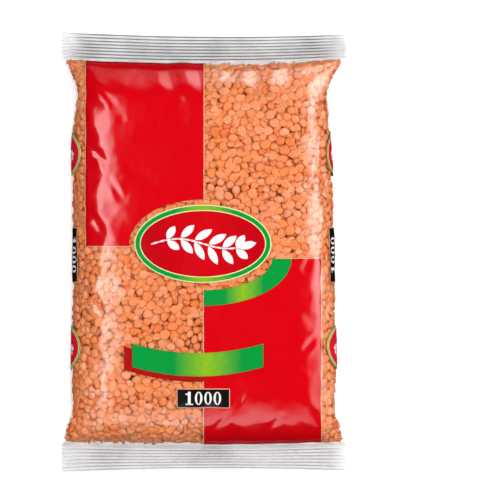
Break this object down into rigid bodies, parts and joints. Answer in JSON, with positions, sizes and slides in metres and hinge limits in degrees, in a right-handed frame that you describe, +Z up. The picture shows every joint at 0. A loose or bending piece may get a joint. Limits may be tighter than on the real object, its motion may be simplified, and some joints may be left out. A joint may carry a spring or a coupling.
{
  "type": "bag of lentils",
  "caption": "Sealed clear film bag of split red lentils, a side-gusseted pillow pack with a crimped seal at each end, lying on its back.",
  "frame": {"origin": "on the surface the bag lies on, under the middle of the whole pack", "axes": "+X across the shown face to its right, +Y along the bag towards its top seal, +Z up out of the shown face"},
  "size_m": [0.145, 0.2244, 0.0526],
  "materials": {
    "lentils": "matt split red lentils",
    "clear_film": "glossy clear film",
    "red_print": "glossy red ink behind film",
    "green_print": "glossy green ink behind film",
    "dark_print": "glossy black ink behind film"
  },
  "bodies": {
    "root": {"lentil_bag": "lentils"}
  },
  "joints": []
}
